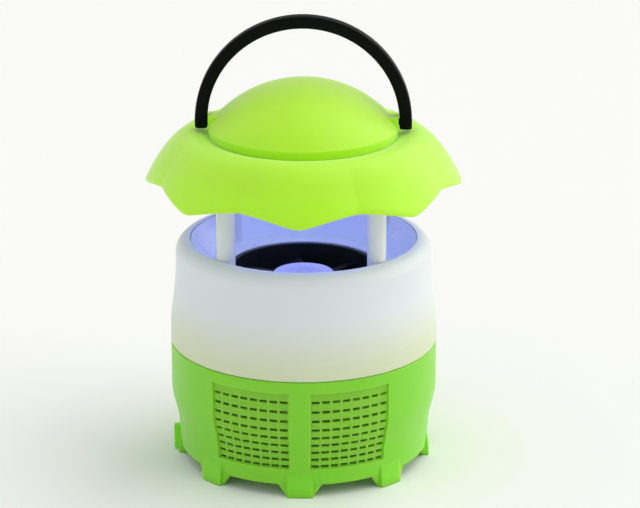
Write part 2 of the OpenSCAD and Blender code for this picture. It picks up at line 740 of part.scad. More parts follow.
module stator_core() {
    shoe_t = 1.3;
    shoe_angle = 72;
    arm = [2.4, stator_r - tube_r - 1.4, stator_h - 0.4];
    color("slategray") {
        ring(tube_r + 1.5, tube_r + 0.02, stator_low_z, stator_h);
        for (i = [0 : pole_count - 1]) rotate([0, 0, i * 360 / pole_count]) {
            block(arm, [0, tube_r + 0.8, stator_low_z + 0.2]);
            translate([0, 0, stator_low_z]) rotate([0, 0, 90 - shoe_angle / 2])
                rotate_extrude(angle = shoe_angle)
                    translate([stator_r - shoe_t, 0]) square([shoe_t, stator_h]);
        }
    }
}
module stator_windings() {
    inner = tube_r + 1.9;
    radial = stator_r - 1.6 - inner;
    color("peru") for (i = [0 : pole_count - 1]) rotate([0, 0, i * 360 / pole_count]) difference() {
        block([5, radial, stator_h + 2.4], [0, inner, stator_low_z - 1.2]);
        block([2.5, radial + 2, stator_h + 0.1], [0, inner - 1, stator_low_z - 0.05]);
    }
}
module fan_driver_board() {
    color("darkgreen") ring(hub_r - 1.4, tube_r + 0.1, driver_z, driver_t);
}
module fan_screws() {
    color("silver") at_posts(screwed_posts) translate([0, 0, flange_low_z])
        screw(fan_screw_d, fan_flange_t + fan_screw_l, 3.4, 2.6);
}
// One blade: a curved plate that runs out from the hub, cut to the bore
module blade() {
    curve_r = 26;
    chord_tilt = 38;
    mid_z = (cup_low_z + cup_top_z) / 2;
    intersection() {
        ring(bore_r - tip_gap, hub_r - 0.8, cup_low_z + 0.8, cup_top_z - cup_low_z - 1.6);
        translate([0, 0, mid_z]) rotate([0, chord_tilt, 0]) translate([0, 0, -curve_r]) rotate([90, 0, 0])
            difference() {
                cylinder(r = curve_r + blade_t / 2, h = bore_r + 2);
                translate([0, 0, -1]) cylinder(r = curve_r - blade_t / 2, h = bore_r + 4);
                translate([-2 * curve_r, -3.3 * curve_r, -1]) cube([4 * curve_r, 4 * curve_r, bore_r + 4]);
            }
    }
}
module fan_impeller() {
    color([0.02, 0.05, 0.07]) difference() {
        union() {
            translate([0, 0, cup_low_z]) cylinder(r = hub_r, h = cup_top_z - cup_low_z);
            for (i = [0 : blade_count - 1]) turn(i * 360 / blade_count) blade();
        }
        difference() {
            translate([0, 0, cup_low_z - slop])
                cylinder(r = hub_r - cup_wall_t, h = cup_top_z - cup_t - cup_low_z + slop);
            translate([0, 0, tube_top_z + 0.8]) cylinder(r = shaft_d / 2 + 1.4, h = 20);
        }
        translate([0, 0, cup_low_z - slop])
            cylinder(d = shaft_d + 0.02, h = cup_top_z - cup_low_z - 0.4, $fn = 48);
    }
}
module hub_cap() {
    color("lavender") translate([0, 0, cup_top_z]) rotate_extrude() polygon([
        [0, 0], [hub_r - 0.2, 0], [hub_r - 0.2, cap_t - 0.3], [hub_r - 0.5, cap_t], [4.6, cap_t],
        [4.2, cap_t - 0.4], [3.4, cap_t - 0.4], [3, cap_t + 0.2], [0, cap_t + 0.2]
    ]);
}
module rotor_yoke() {
    color("silver") ring(yoke_r, yoke_r - yoke_t, cup_low_z + 0.4, cup_top_z - cup_t - cup_low_z - 0.4);
}
module rotor_magnet() {
    color("dimgray") ring(magnet_r, magnet_r - magnet_t, cup_low_z + 0.6, stator_h + 2.8);
}
module rotor_shaft() {
    low = fan_low_z + seat_t + 0.4;
    color("gainsboro") translate([0, 0, low]) cylinder(d = shaft_d, h = cup_top_z - 0.9 - low, $fn = 48);
}

// ---- Electrics ----

module power_board() {
    color("darkgreen") difference() {
        block([2 * board_half_w, board_t, board_high_z - board_low_z], [0, board_y, board_low_z]);
        for (x = [-board_boss_x, board_boss_x])
            translate([x, board_y - slop, board_boss_z]) rotate([-90, 0, 0])
                cylinder(d = board_screw_d + 4 * screw_clear, h = board_t + 2 * slop, $fn = 32);
    }
}
module board_components() {
    color("black") {
        for (x = [6, 12.5]) translate([x, board_y, panel_z + 1]) rotate([90, 0, 0])
            cylinder(r = 2.5, h = 6, $fn = 48);
        block([6, 1.8, 5], [-3, board_y - 1.8, panel_z + 1]);
        block([7, 3.2, 7], [9, board_y - 3.2, panel_z - 10]);
        for (i = [0 : 3]) block([1.6, 0.7, 3.2], [-17 + 3.2 * i, board_y - 0.7, panel_z - 9]);
    }
}
module board_screws() {
    color("silver") for (x = [-board_boss_x, board_boss_x]) translate([x, board_y, board_boss_z])
        rotate([-90, 0, 0]) screw(board_screw_d, board_screw_l, 2.2, 1.4);
}
module power_socket() {
    depth = 9.6;
    body_h = 10;
    back_y = board_y + board_t;
    color([0.05, 0.05, 0.05]) difference() {
        union() {
            block([9, panel_y - panel_t - back_y, body_h], [-panel_offset, back_y, panel_z - body_h / 2]);
            translate([-panel_offset, panel_y - panel_t - 1, panel_z]) rotate([-90, 0, 0])
                cylinder(d = socket_nose_d, h = panel_t + 0.8);
        }
        translate([-panel_offset, panel_y - 0.2 - depth, panel_z]) rotate([-90, 0, 0])
            cylinder(d = socket_bore_d, h = depth + slop, $fn = 48);
    }
}
module socket_pin() {
    color("silver") translate([-panel_offset, panel_y - 9.8, panel_z]) rotate([-90, 0, 0])
        cylinder(d = socket_pin_d, h = 8.6, $fn = 32);
}
module switch_body() {
    cavity_w = 2 * (rocker_half_w + 0.9);
    cavity_h = rocker_h + 0.6;
    color([0.06, 0.06, 0.06]) difference() {
        union() {
            block([switch_w, switch_depth, switch_h],
                [panel_offset, panel_y - switch_depth, panel_z - switch_h / 2]);
            block([switch_w + 2 * bezel_w, bezel_t, switch_h + 2 * bezel_w],
                [panel_offset, panel_y, panel_z - switch_h / 2 - bezel_w]);
        }
        block([cavity_w, 20, cavity_h], [panel_offset, panel_y - 6.4, panel_z - cavity_h / 2]);
        translate([panel_offset, rocker_y, panel_z])
            cylinder(r = rocker_pin_r + 0.05, h = cavity_h + 0.8, center = true, $fn = 32);
    }
}
module switch_rocker() {
    color("black") translate([panel_offset, rocker_y, panel_z]) rotate([0, 0, rocker_tilt]) {
        cylinder(r = 2.6, h = rocker_h, center = true, $fn = 48);
        cylinder(r = rocker_pin_r, h = rocker_h + 1.2, center = true, $fn = 32);
        linear_extrude(rocker_h, center = true) polygon([
            [-rocker_half_w, 1], [rocker_half_w, 1], [rocker_half_w, 4], [rocker_half_w / 2, 3.7], [0, 3.6],
            [-rocker_half_w / 2, 3.7], [-rocker_half_w, 4]
        ]);
    }
}
module switch_terminals() {
    color("silver") for (x = [-3, 3]) translate([panel_offset + x, board_y + board_t, panel_z])
        rotate([-90, 0, 0]) cylinder(d = 1.2, h = panel_y - switch_depth - board_y - board_t, $fn = 32);
}

module straight_lead(l) cylinder(d = lamp_lead_d, h = l, $fn = 32);
// A lead's bend: a quarter turn from straight up into the direction of +X
module lead_elbow() {
    translate([lead_bend, 0, 0]) rotate([90, 0, 180]) rotate_extrude(angle = 90)
        translate([lead_bend, 0]) circle(d = lamp_lead_d, $fn = 32);
}
// The lamp's lead: from the power board up one hollow post, over the plate and down to the lamp board
module lamp_lead() {
    post_x = post_r * sin(post_start + wired_post * 360 / post_count);
    post_y = -post_r * cos(post_start + wired_post * 360 / post_count);
    rise_low_z = lamp_lead_end[1] + lead_bend;
    rise_high_z = lamp_lead_run_z - lead_bend;
    inward = post_r - lamp_lead_land_r - 2 * lead_bend;
    across = lamp_lead_end[0] - post_x - 2 * lead_bend;
    color("darkslategray") {
        translate([post_x, post_y, rise_low_z]) straight_lead(rise_high_z - rise_low_z);
        translate([post_x, post_y, rise_low_z]) mirror([0, 0, 1]) {
            lead_elbow();
            translate([lead_bend, 0, lead_bend]) rotate([0, 90, 0]) straight_lead(across);
        }
        translate([lamp_lead_end[0] - lead_bend, post_y + lead_bend, lamp_lead_end[1]]) {
            translate([0, -lead_bend, 0]) rotate([0, 0, -90]) translate([-lead_bend, 0, 0])
                rotate_extrude(angle = 90) translate([lead_bend, 0]) circle(d = lamp_lead_d, $fn = 32);
            translate([lead_bend, 0, 0]) rotate([-90, 0, 0]) straight_lead(board_y - post_y - lead_bend);
        }
        translate([post_x, post_y, rise_high_z]) rotate([0, 0, atan2(-post_y, -post_x)]) {
            lead_elbow();
            translate([lead_bend, 0, lead_bend]) rotate([0, 90, 0]) straight_lead(inward);
            translate([2 * lead_bend + inward, 0, 0]) {
                rotate([0, 0, 180]) lead_elbow();
                translate([0, 0, plate_z - rise_high_z]) straight_lead(rise_high_z - plate_z);
            }
        }
    }
}
module fan_lead() {
    start = hub_r - 1.4;
    color("darkslategray") translate([0, start, fan_lead_z]) rotate([-90, 0, 0])
        cylinder(d = fan_lead_d, h = board_y - start, $fn = 32);
}

collection_basket();
upper_housing();
intake_funnel();
intake_posts();
lamp_plate();
led_board();
uv_leds();
led_resistors();
petal_skirt();
crown();
carry_handle();
cap_screws();
post_screws();
fan_frame();
fan_bearing();
stator_core();
stator_windings();
fan_driver_board();
fan_screws();
fan_impeller();
hub_cap();
rotor_yoke();
rotor_magnet();
rotor_shaft();
power_board();
board_components();
board_screws();
power_socket();
socket_pin();
switch_body();
switch_rocker();
switch_terminals();
lamp_lead();
fan_lead();
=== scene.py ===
"""Finishes and fine pieces of a suction insect trap, laid out as an add-on and run as a script."""
import json
import math

import bpy
import numpy as np
from bpy.props import FloatProperty, FloatVectorProperty, IntProperty, PointerProperty
from bpy.types import Operator, Panel, PropertyGroup
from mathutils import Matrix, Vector


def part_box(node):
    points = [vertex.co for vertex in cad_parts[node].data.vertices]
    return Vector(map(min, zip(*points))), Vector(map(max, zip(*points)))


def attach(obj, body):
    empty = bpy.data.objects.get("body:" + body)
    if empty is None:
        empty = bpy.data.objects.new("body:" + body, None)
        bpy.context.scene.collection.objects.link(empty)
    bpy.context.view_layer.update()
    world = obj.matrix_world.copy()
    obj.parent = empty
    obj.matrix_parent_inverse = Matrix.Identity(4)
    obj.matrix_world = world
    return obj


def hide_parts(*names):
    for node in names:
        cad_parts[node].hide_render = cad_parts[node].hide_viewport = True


bl_info = {
    "name": "Insect trap finish",
    "version": (1, 0, 0),
    "blender": (4, 5, 0),
    "location": "3D View > Sidebar > Trap",
    "description": "Builds the fine pieces, finishes and stage of a suction insect trap around its CAD model",
    "category": "Object",
}

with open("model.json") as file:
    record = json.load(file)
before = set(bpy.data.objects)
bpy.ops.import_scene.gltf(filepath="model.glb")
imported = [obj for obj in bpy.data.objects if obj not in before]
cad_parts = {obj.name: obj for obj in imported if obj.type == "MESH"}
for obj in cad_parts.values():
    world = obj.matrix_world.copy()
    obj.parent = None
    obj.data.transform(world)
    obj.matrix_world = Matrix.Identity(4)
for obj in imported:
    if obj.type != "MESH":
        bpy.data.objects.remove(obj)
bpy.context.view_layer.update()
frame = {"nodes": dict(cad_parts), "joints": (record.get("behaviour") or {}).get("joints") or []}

MM = 0.001
NODES = frame["nodes"]
JOINTS = {joint["name"]: joint for joint in frame["joints"]}


def linear(hex_colour):
    """The linear colour of an sRGB hex value."""
    values = [int(hex_colour[i:i + 2], 16) / 255 for i in (1, 3, 5)]
    return [v / 12.92 if v <= 0.04045 else ((v + 0.055) / 1.055) ** 2.4 for v in values]


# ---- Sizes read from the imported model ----

SKIRT_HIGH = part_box("petal_skirt")[1]
HANDLE_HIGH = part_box("carry_handle")[1]
PLATE_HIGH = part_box("lamp_plate")[1]
ROTOR_LOW, ROTOR_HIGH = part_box("fan_impeller")
LAMP_LOW, LAMP_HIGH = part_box("uv_leds")
PIVOT_Z = JOINTS["handle_swing"]["pos_m"][2]

# ---- Fixed sizes of the stage ----

FLOOR_HALF = 9  # metres, half the side of the floor sheet
LAMP_RING_D = 78 * MM
LAMP_RING_DROP = 1 * MM  # how far the light sits under the lamps
CAMERA_PLACE = (0.0446, -1.3993, 0.5772)
CAMERA_TILT, CAMERA_TURN = 71.27, 1.5  # degrees from straight down, and to the left
CAMERA_SENSOR, CAMERA_LENS = 36, 170.8  # millimetres
CAMERA_NEAR, CAMERA_FAR = 0.05, 60  # metres

# ---- Fixed sizes of the fan ----

BLADE_COUNT = 7
BLADE_ROOT_R = 14.2 * MM  # inside the hub's wall, so that no gap shows at the root
BLADE_EDGE_GAP = 0.8 * MM  # between a blade and the rotor's top or bottom plane
BLADE_TILT = 38  # degrees between the chord at mid span and the fan's plane


# ---- Settings ----

def size(name, description, value, low=0.0):
    """A length property in metres."""
    return FloatProperty(name=name, description=description, default=value, min=low, unit="LENGTH",
                         subtype="DISTANCE", precision=5)


def colour(name, description, hex_colour):
    """A colour property whose default is an sRGB hex value."""
    return FloatVectorProperty(name=name, description=description, default=linear(hex_colour), size=3, min=0, max=1,
                               subtype="COLOR")


class TrapShape(PropertyGroup):
    """Sizes of the pieces that are drawn finer than the CAD model."""
    petals: IntProperty(name="Petals", description="Petals round the cap's brim", default=8, min=3, max=16)
    petal_steps: IntProperty(name="Petal steps", description="Mesh steps over half a petal", default=22, min=6, max=60)
    tip_round: FloatProperty(
        name="Tip rounding", description="Share of half a petal over which its tip is rounded",
        default=0.09, min=0.01, max=0.4, subtype="FACTOR")
    lip_round: size("Lip rounding", "Radius along the brim's bottom lip", 0.7 * MM)
    handle_round: size("Handle edge radius", "Radius along the handle's edges", 1.4 * MM)
    blade_twist: FloatProperty(
        name="Blade twist", description="How much flatter a blade is at its tip than at its root",
        default=math.radians(12), unit="ROTATION", subtype="ANGLE")
    blade_thickness: size("Blade thickness", "Thickest part of a fan blade", 1.5 * MM)
    edge_radius: size("Moulded edge radius", "Small radius that every moulded edge shows", 0.45 * MM)


class TrapColours(PropertyGroup):
    """Colours of the finishes."""
    cap: colour("Cap", "Translucent lime of the petal cap", "#B2F00C")
    basket: colour("Basket", "Deeper lime of the basket", "#80D81A")
    housing: colour("Housing", "Milky white of the housing and the posts", "#DCE2E4")
    handle: colour("Handle", "Near black of the handle", "#040604")
    fan: colour("Fan", "Blue black of the fan", "#05080D")
    lamp: colour("Lamp glow", "Violet blue light of the lamps", "#6674FF")


class TrapLight(PropertyGroup):
    """Strength of the lamps and of the studio light."""
    lamp_power: FloatProperty(
        name="Lamp power", description="Power of the lamp ring", default=0.03, min=0, unit="POWER")
    key_strength: FloatProperty(
        name="Key strength", description="Strength of the broad light at the right", default=2.3, min=0)
    fill_strength: FloatProperty(
        name="Fill strength", description="Strength of the broad light at the left", default=0.85, min=0)
    sky: FloatProperty(
        name="Surround", description="Brightness of the white surround", default=0.52, min=0)


# ---- Meshes ----

def outward(points, faces):
    """Turns every face of a closed shell round when the shell's signed volume is negative."""
    a, b, c, d = (points[faces[:, k]] for k in range(4))
    volume = (np.einsum("ij,ij->i", a, np.cross(b, c)) + np.einsum("ij,ij->i", a, np.cross(c, d))).sum()
    return faces[:, ::-1] if volume < 0 else faces


def ring_shell(grid):
    """Closed shell from a grid that closes both ways: u runs round the axis, v round the section."""
    n_u, n_v = grid.shape[:2]
    u, v = np.meshgrid(np.arange(n_u), np.arange(n_v), indexing="ij")
    next_u, next_v = (u + 1) % n_u, (v + 1) % n_v
    corners = [u * n_v + v, next_u * n_v + v, next_u * n_v + next_v, u * n_v + next_v]
    faces = np.stack(corners, -1).reshape(-1, 4)
    points = grid.reshape(-1, 3)
    return points, outward(points, faces)


def tube_shell(grid):
    """Closed shell from a grid whose v closes on itself, with a point in the middle of each end section."""
    n_u, n_v = grid.shape[:2]
    u, v = np.meshgrid(np.arange(n_u - 1), np.arange(n_v), indexing="ij")
    next_v = (v + 1) % n_v
    corners = [u * n_v + v, (u + 1) * n_v + v, (u + 1) * n_v + next_v, u * n_v + next_v]
    sides = np.stack(corners, -1).reshape(-1, 4)
    first, last = n_u * n_v, n_u * n_v + 1
    k = np.arange(n_v)
    low = np.stack([k, (k + 1) % n_v, np.full(n_v, first), np.full(n_v, first)], -1)
    top = (n_u - 1) * n_v
    high = np.stack([top + (k + 1) % n_v, top + k, np.full(n_v, last), np.full(n_v, last)], -1)
    points = np.concatenate([grid.reshape(-1, 3), grid[0].mean(0)[None], grid[-1].mean(0)[None]])
    return points, outward(points, np.concatenate([sides, low, high]))


def piece(name, shells, material, body, stands_for, sharp=40):
    """One object from closed shells, riding on a body in place of a CAD node."""
    points, faces, first = [], [], 0
    for shell_points, shell_faces in shells:
        points.append(shell_points)
        # A face with a corner named twice is a triangle
        for q in (shell_faces + first).tolist():
            faces.append(q[:3] if q[2] == q[3] else q[1:] if q[0] == q[1] else q)
        first += len(shell_points)
    mesh = bpy.data.meshes.new(name)
    mesh.from_pydata(np.concatenate(points).tolist(), [], faces)
    mesh.shade_smooth()
    mesh.set_sharp_from_angle(angle=math.radians(sharp))
    mesh.materials.append(material)
    made = bpy.data.objects.new(name, mesh)
    bpy.context.scene.collection.objects.link(made)
    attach(made, body)
    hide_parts(stands_for)
    return made


def turned(radius, z, steps=96):
    """Grid of a profile of radii and heights turned round the Z axis, from the front towards +X."""
    angle = np.linspace(0, 2 * np.pi, steps, endpoint=False)[:, None]
    return np.stack([radius * np.sin(angle), -radius * np.cos(angle), z + 0 * angle], -1)


def brim_sections(shape):
    """Sections of the brim, radius and height, one row for each angle.

    At an angle, side runs from 0 at a petal's tip to 1 at the notch, with its corner at the tip rounded. The edge
    hangs below the crest by the notch's drop plus the rest times (1 - side) to 1.6, and the top face falls as t to
    1.95 while its radius grows as t, drawn in by a share of side squared. The underside follows one wall lower.
    """
    angle = np.linspace(0, 2 * np.pi, shape.petals * shape.petal_steps * 2, endpoint=False)
    turn = angle * shape.petals / (2 * np.pi)
    corner = shape.tip_round
    side = 2 * np.abs(turn - np.round(turn))
    side = ((np.sqrt(side ** 2 + corner ** 2) - corner) / (math.sqrt(1 + corner ** 2) - corner))[:, None]

    wall, lip_w, lip_h, ledge_drop = 2.2 * MM, 1.6 * MM, 1.8 * MM, 1.8 * MM
    tip_drop, notch_drop = 24.2 * MM, 19.3 * MM
    power, cusp_power, pinch = 1.95, 1.6, 0.08
    petal_r = SKIRT_HIGH.x
    crown_r = petal_r - 30.6 * MM
    crest_r, opening_r, collar_r, collar_w = crown_r + 7.4 * MM, crown_r - 3.9 * MM, crown_r + 11.4 * MM, 2 * MM
    crown_gap = 0.2 * MM
    ledge_r = crown_r + crown_gap
    crest_z = SKIRT_HIGH.z
    ledge_z, plate_z = crest_z - ledge_drop, PLATE_HIGH.z

    drop_at_edge = notch_drop + (tip_drop - notch_drop) * (1 - side) ** cusp_power

    def top(t, inset):
        """Radius and height on the top face at t, or on the face that lies inset under it."""
        drop = drop_at_edge * t ** power
        r = crest_r + (petal_r - crest_r) * (drop / tip_drop) ** (1 / power) * (1 - pinch * side ** 2)
        slope = -power * drop / np.maximum(r - crest_r, 0.01 * MM)
        length = np.sqrt(1 + slope ** 2)
        return r + inset * slope / length, crest_z - drop - inset / length

    def corner_arc(r, z, start, steps=6):
        """A quarter turn of the lip's rounding about a centre."""
        a = np.radians(start - np.linspace(0, 90, steps))[None]
        return r + shape.lip_round * np.cos(a), z + shape.lip_round * np.sin(a)

    ones = np.ones_like(side)
    edge_r, edge_z = top(np.ones((1, 1)), 0)
    low = edge_z - lip_h + shape.lip_round
    rise = np.linspace(0, 1, 9)[None, 1:]
    under_r, under_z = top(np.linspace(1, 0.34, 30)[None], wall)
    columns = [
        (ones * opening_r, ones * (ledge_z - wall)),
        (ones * opening_r, ones * ledge_z),
        (ones * ledge_r, ones * ledge_z),
        (ones * (ledge_r + (crest_r - crown_r - crown_gap) * rise),
         ones * (ledge_z + ledge_drop * np.sin(rise * np.pi / 2))),
        top(np.linspace(0, 1, 44)[None, 1:], 0),
        corner_arc(edge_r - shape.lip_round, low, 0),
        corner_arc(edge_r - lip_w + shape.lip_round, low, -90),
        (np.clip(under_r, collar_r + collar_w + 0.2 * MM, edge_r - lip_w), under_z),
        (ones * (collar_r + collar_w), ones * plate_z),
        (ones * collar_r, ones * plate_z),
        (ones * collar_r, ones * (ledge_z - wall)),
    ]
    radius = np.concatenate([c[0] for c in columns], 1)
    z = np.concatenate([c[1] for c in columns], 1)
    return angle[:, None], radius, z


def handle_grid(shape):
    """Sections of the handle along its path from the right foot, over the arch, to the left foot.

    The path drops straight below each pivot and is half a circle above them. A section is a rounded rectangle as
    thick as the strap, and its half width is that of the strap or of the round foot, whichever is wider.
    """
    thickness, strap = 6.05 * MM / 2, 7 * MM / 2
    foot = HANDLE_HIGH.y
    middle = HANDLE_HIGH.x - thickness
    fall_steps, first_angle = 16, 0.03
    fall = -foot * np.cos(np.linspace(first_angle, np.pi / 2, fall_steps, endpoint=False))
    arch = np.linspace(0, np.pi, 121)
    height = np.concatenate([fall, middle * np.sin(arch), fall[::-1]])
    ends = np.full(fall_steps, middle)
    centre_x = np.concatenate([ends, middle * np.cos(arch), -ends])
    out = np.concatenate([np.zeros(fall_steps), arch, np.full(fall_steps, np.pi)])

    round_foot = np.sqrt(np.clip(foot ** 2 - height ** 2, 0, None))
    half_width = np.where(height < 0, round_foot, np.maximum(strap, np.where(height < foot, round_foot, 0)))
    edge = shape.handle_round
    from_rim = np.clip(foot + height, 0, edge)
    half_thickness = thickness - edge + np.sqrt(edge ** 2 - (edge - from_rim) ** 2)
    corner = np.minimum(edge, 0.98 * np.minimum(half_width, half_thickness))[:, None]

    corner_steps = 7
    a = np.concatenate([np.linspace(k, k + np.pi / 2, corner_steps) for k in np.arange(4) * np.pi / 2])
    sign_t = np.repeat([1, -1, -1, 1], corner_steps)
    sign_w = np.repeat([1, 1, -1, -1], corner_steps)
    t = sign_t * (half_thickness[:, None] - corner) + corner * np.cos(a)
    w = sign_w * (half_width[:, None] - corner) + corner * np.sin(a)
    x = centre_x[:, None] + t * np.cos(out)[:, None]
    z = PIVOT_Z + height[:, None] + t * np.sin(out)[:, None]
    return np.stack([x, w + 0 * x, z], -1)


def handle_pin(side):
    """One pin of the handle, a rod turned round the X axis with a rounded inner end."""
    inner, root, r = 41.05 * MM, 47.5 * MM, 1.6 * MM
    x = np.array([inner, inner + 0.1 * MM, inner + 0.4 * MM, root])[:, None] * side
    radius = np.array([r - 0.4 * MM, r - 0.12 * MM, r, r])[:, None]
    a = np.linspace(0, 2 * np.pi, 40, endpoint=False)[None]
    return np.stack([x + 0 * a, radius * np.cos(a), PIVOT_Z + radius * np.sin(a)], -1)


def blade_grid(shape, turn):
    """One fan blade, sections from root to tip.

    A section lies at one radius. Its camber line is an arc of a circle whose chord is tilted to the fan's plane,
    and its thickness is that of a teardrop, the square root of the distance from the nose times what is left to
    the tail.
    """
    root, tip = BLADE_ROOT_R, ROTOR_HIGH.x
    low, high = ROTOR_LOW.z + BLADE_EDGE_GAP, ROTOR_HIGH.z - BLADE_EDGE_GAP
    span = np.linspace(0, 1, 15)[:, None]
    radius = root + (tip - root) * span
    tilt = math.radians(BLADE_TILT) + shape.blade_twist * (0.5 - span)
    half = (high - low) / 2
    chord = 2 * (half - 0.75 * MM) / np.sin(tilt)
    q = (1 - np.cos(np.linspace(0, np.pi, 17))) / 2
    along = np.concatenate([q, q[-2:0:-1]])[None]
    face = np.concatenate([np.ones(17), -np.ones(15)])[None]
    camber = 0.11 * chord * 4 * along * (1 - along) - 0.055 * chord
    thick = shape.blade_thickness * (0.5 * np.sqrt(along) * (1 - along) * 2.6 + 0.14)
    s, n = (along - 0.5) * chord, camber + face * thick / 2
    across = s * np.cos(tilt) + n * np.sin(tilt)
    rise = np.clip(-s * np.sin(tilt) + n * np.cos(tilt), -half, half)
    out = np.sqrt(radius ** 2 - across ** 2)
    x = across * np.cos(turn) + out * np.sin(turn)
    y = across * np.sin(turn) - out * np.cos(turn)
    return np.stack([x, y, (low + high) / 2 + rise], -1)


def hub_section():
    """Section of the fan's hub: a cup that opens downwards, with a boss for the shaft, and a rounded top edge."""
    hub, wall, roof, boss, bore = 14.9 * MM, 1.3 * MM, 1.8 * MM, 2.9 * MM, 1.51 * MM
    low, high = ROTOR_LOW.z, ROTOR_HIGH.z
    a = np.linspace(0, np.pi / 2, 5)
    edge = 0.8 * MM
    chamfer, bore_sink, boss_low = 0.3 * MM, 0.4 * MM, high - roof - 3.2 * MM
    radius = np.concatenate([[bore, bore], hub - edge + edge * np.sin(a),
                             [hub, hub - chamfer, hub - wall, hub - wall, boss, boss]])
    z = np.concatenate([[boss_low, high - bore_sink], high - edge + edge * np.cos(a),
                        [low + chamfer, low, low, high - roof, high - roof, boss_low]])
    return radius[None], z[None]


# ---- Materials ----

# Radians that a wave texture turns through in a metre at a scale of one. A scale of per_metre(size) over this makes
# bands 2 pi times that size, which is coarse enough to show.
WAVE_RADIANS = 20


def add(tree, kind, inputs=(), **settings):
    """Adds a node with its settings. An input given as a socket is linked, and any other value is set."""
    node = tree.nodes.new(kind)
    for name, value in settings.items():
        setattr(node, name, value)
    for name, value in dict(inputs).items():
        if isinstance(value, bpy.types.NodeSocket):
            tree.links.new(value, node.inputs[name])
        else:
            node.inputs[name].default_value = value
    return node


def per_metre(size_mm):
    """A noise, cell or checker scale whose features are about that many millimetres across."""
    return 1000 / size_mm


def shade(rgb, factor):
    """A colour made darker or lighter."""
    return [min(1, c * factor) for c in rgb] + [1]


def start(name):
    """An empty material, its tree and its Object coordinates."""
    material = bpy.data.materials.new(name)
    material.use_nodes = True
    tree = material.node_tree
    tree.nodes.clear()
    return material, tree, add(tree, "ShaderNodeTexCoord").outputs["Object"]


def end(tree, **inputs):
    """The Principled shader and the output. Underscores in an input's name stand for spaces."""
    shader = add(tree, "ShaderNodeBsdfPrincipled", {key.replace("_", " "): value for key, value in inputs.items()})
    add(tree, "ShaderNodeOutputMaterial", {"Surface": shader.outputs[0]})


def mottled(tree, place, rgb, size_mm, amount):
    """A colour that drifts a little lighter and darker over patches, as resin does where it flowed and cooled."""
    noise = add(tree, "ShaderNodeTexNoise", {"Vector": place, "Scale": per_metre(size_mm), "Detail": 3.0})
    mix = add(tree, "ShaderNodeMix", {0: noise.outputs[0], 6: shade(rgb, 1 - amount), 7: shade(rgb, 1 + amount)},
              data_type="RGBA")
    return mix.outputs[2]


def varied(tree, place, low, high, size_mm):
    """A number that wanders between two values."""
    noise = add(tree, "ShaderNodeTexNoise", {"Vector": place, "Scale": per_metre(size_mm), "Detail": 4.0})
    span = add(tree, "ShaderNodeMapRange", {0: noise.outputs[0], 1: 0.3, 2: 0.7, 3: low, 4: high})
    return span.outputs[0]


def raised(tree, height, distance_mm, strength=1.0, normal=None):
    """Bump from a height."""
    inputs = {"Height": height, "Distance": distance_mm * MM, "Strength": strength}
    if normal is not None:
        inputs["Normal"] = normal
    return add(tree, "ShaderNodeBump", inputs).outputs[0]


def soft_edges(tree):
    """The small moulded radius that catches light along an edge."""
    radius = bpy.context.scene.trap_shape.edge_radius
    return add(tree, "ShaderNodeBevel", {"Radius": radius}, samples=4).outputs[0]


def moulded(name, rgb, roughness, grain_mm, grain_depth_mm, mottle, body=0.0, reach=(1, 1, 1), reach_mm=5.0, coat=0.0,
            gloss=0.5, haze=0.0, painted_basket_light=None):
    """Injection-moulded thermoplastic: mottled colour, texture of a spark-eroded mould, light that enters thin walls.

    Grain_mm is the texture's pitch. The real one is about 0.15 to 0.3 mm and is drawn coarser where it has to show.
    The last argument is a colour, a low height and a high one: painted light, the wall painted that colour low down
    for light from a coloured piece that shows through it.
    """
    material, tree, place = start(name)
    tone = mottled(tree, place, rgb, 38, mottle)
    # Painted light: below the low height the colour is painted the tint of coloured light from under the wall, fading
    # to the plain colour by the high height.
    if painted_basket_light:
        tint, low, high = painted_basket_light
        split = add(tree, "ShaderNodeSeparateXYZ", {"Vector": place})
        share = add(tree, "ShaderNodeMapRange", {0: split.outputs[2], 1: low, 2: high, 3: 0.0, 4: 1.0},
                    interpolation_type="SMOOTHSTEP")
        painted_light_mix = add(tree, "ShaderNodeMix", {0: share.outputs[0], 6: shade(tint, 1), 7: tone}, data_type="RGBA")
        tone = painted_light_mix.outputs[2]
    grain = add(tree, "ShaderNodeTexNoise",
                {"Vector": place, "Scale": per_metre(grain_mm), "Detail": 2.0, "Roughness": 0.6})
    end(
        tree,
        Base_Color=tone,
        Roughness=varied(tree, place, roughness - 0.04, roughness + 0.05, 16),
        Specular_IOR_Level=gloss,
        Normal=raised(tree, grain.outputs[0], grain_depth_mm, 0.6, soft_edges(tree)),
        Subsurface_Weight=body,
        Subsurface_Radius=reach,
        Subsurface_Scale=reach_mm * MM,
        Coat_Weight=coat,
        Coat_Roughness=0.35,
        Sheen_Weight=haze,
        Sheen_Roughness=0.5,
        IOR=1.49,
    )
    return material


def metal(name, rgb, roughness, streak_mm, stretch, depth_mm):
    """Metal with fine marks: streaks along one axis from rolling, turning or drawing."""
    material, tree, place = start(name)
    along = add(tree, "ShaderNodeMapping", {"Vector": place, "Scale": stretch})
    marks = add(tree, "ShaderNodeTexNoise",
                {"Vector": along.outputs[0], "Scale": per_metre(streak_mm), "Detail": 3.0})
    end(
        tree,
        Base_Color=mottled(tree, place, rgb, 3, 0.08),
        Metallic=1.0,
        Roughness=varied(tree, place, roughness - 0.07, roughness + 0.1, 1.5),
        Normal=raised(tree, marks.outputs[0], depth_mm, 0.5),
    )
    return material


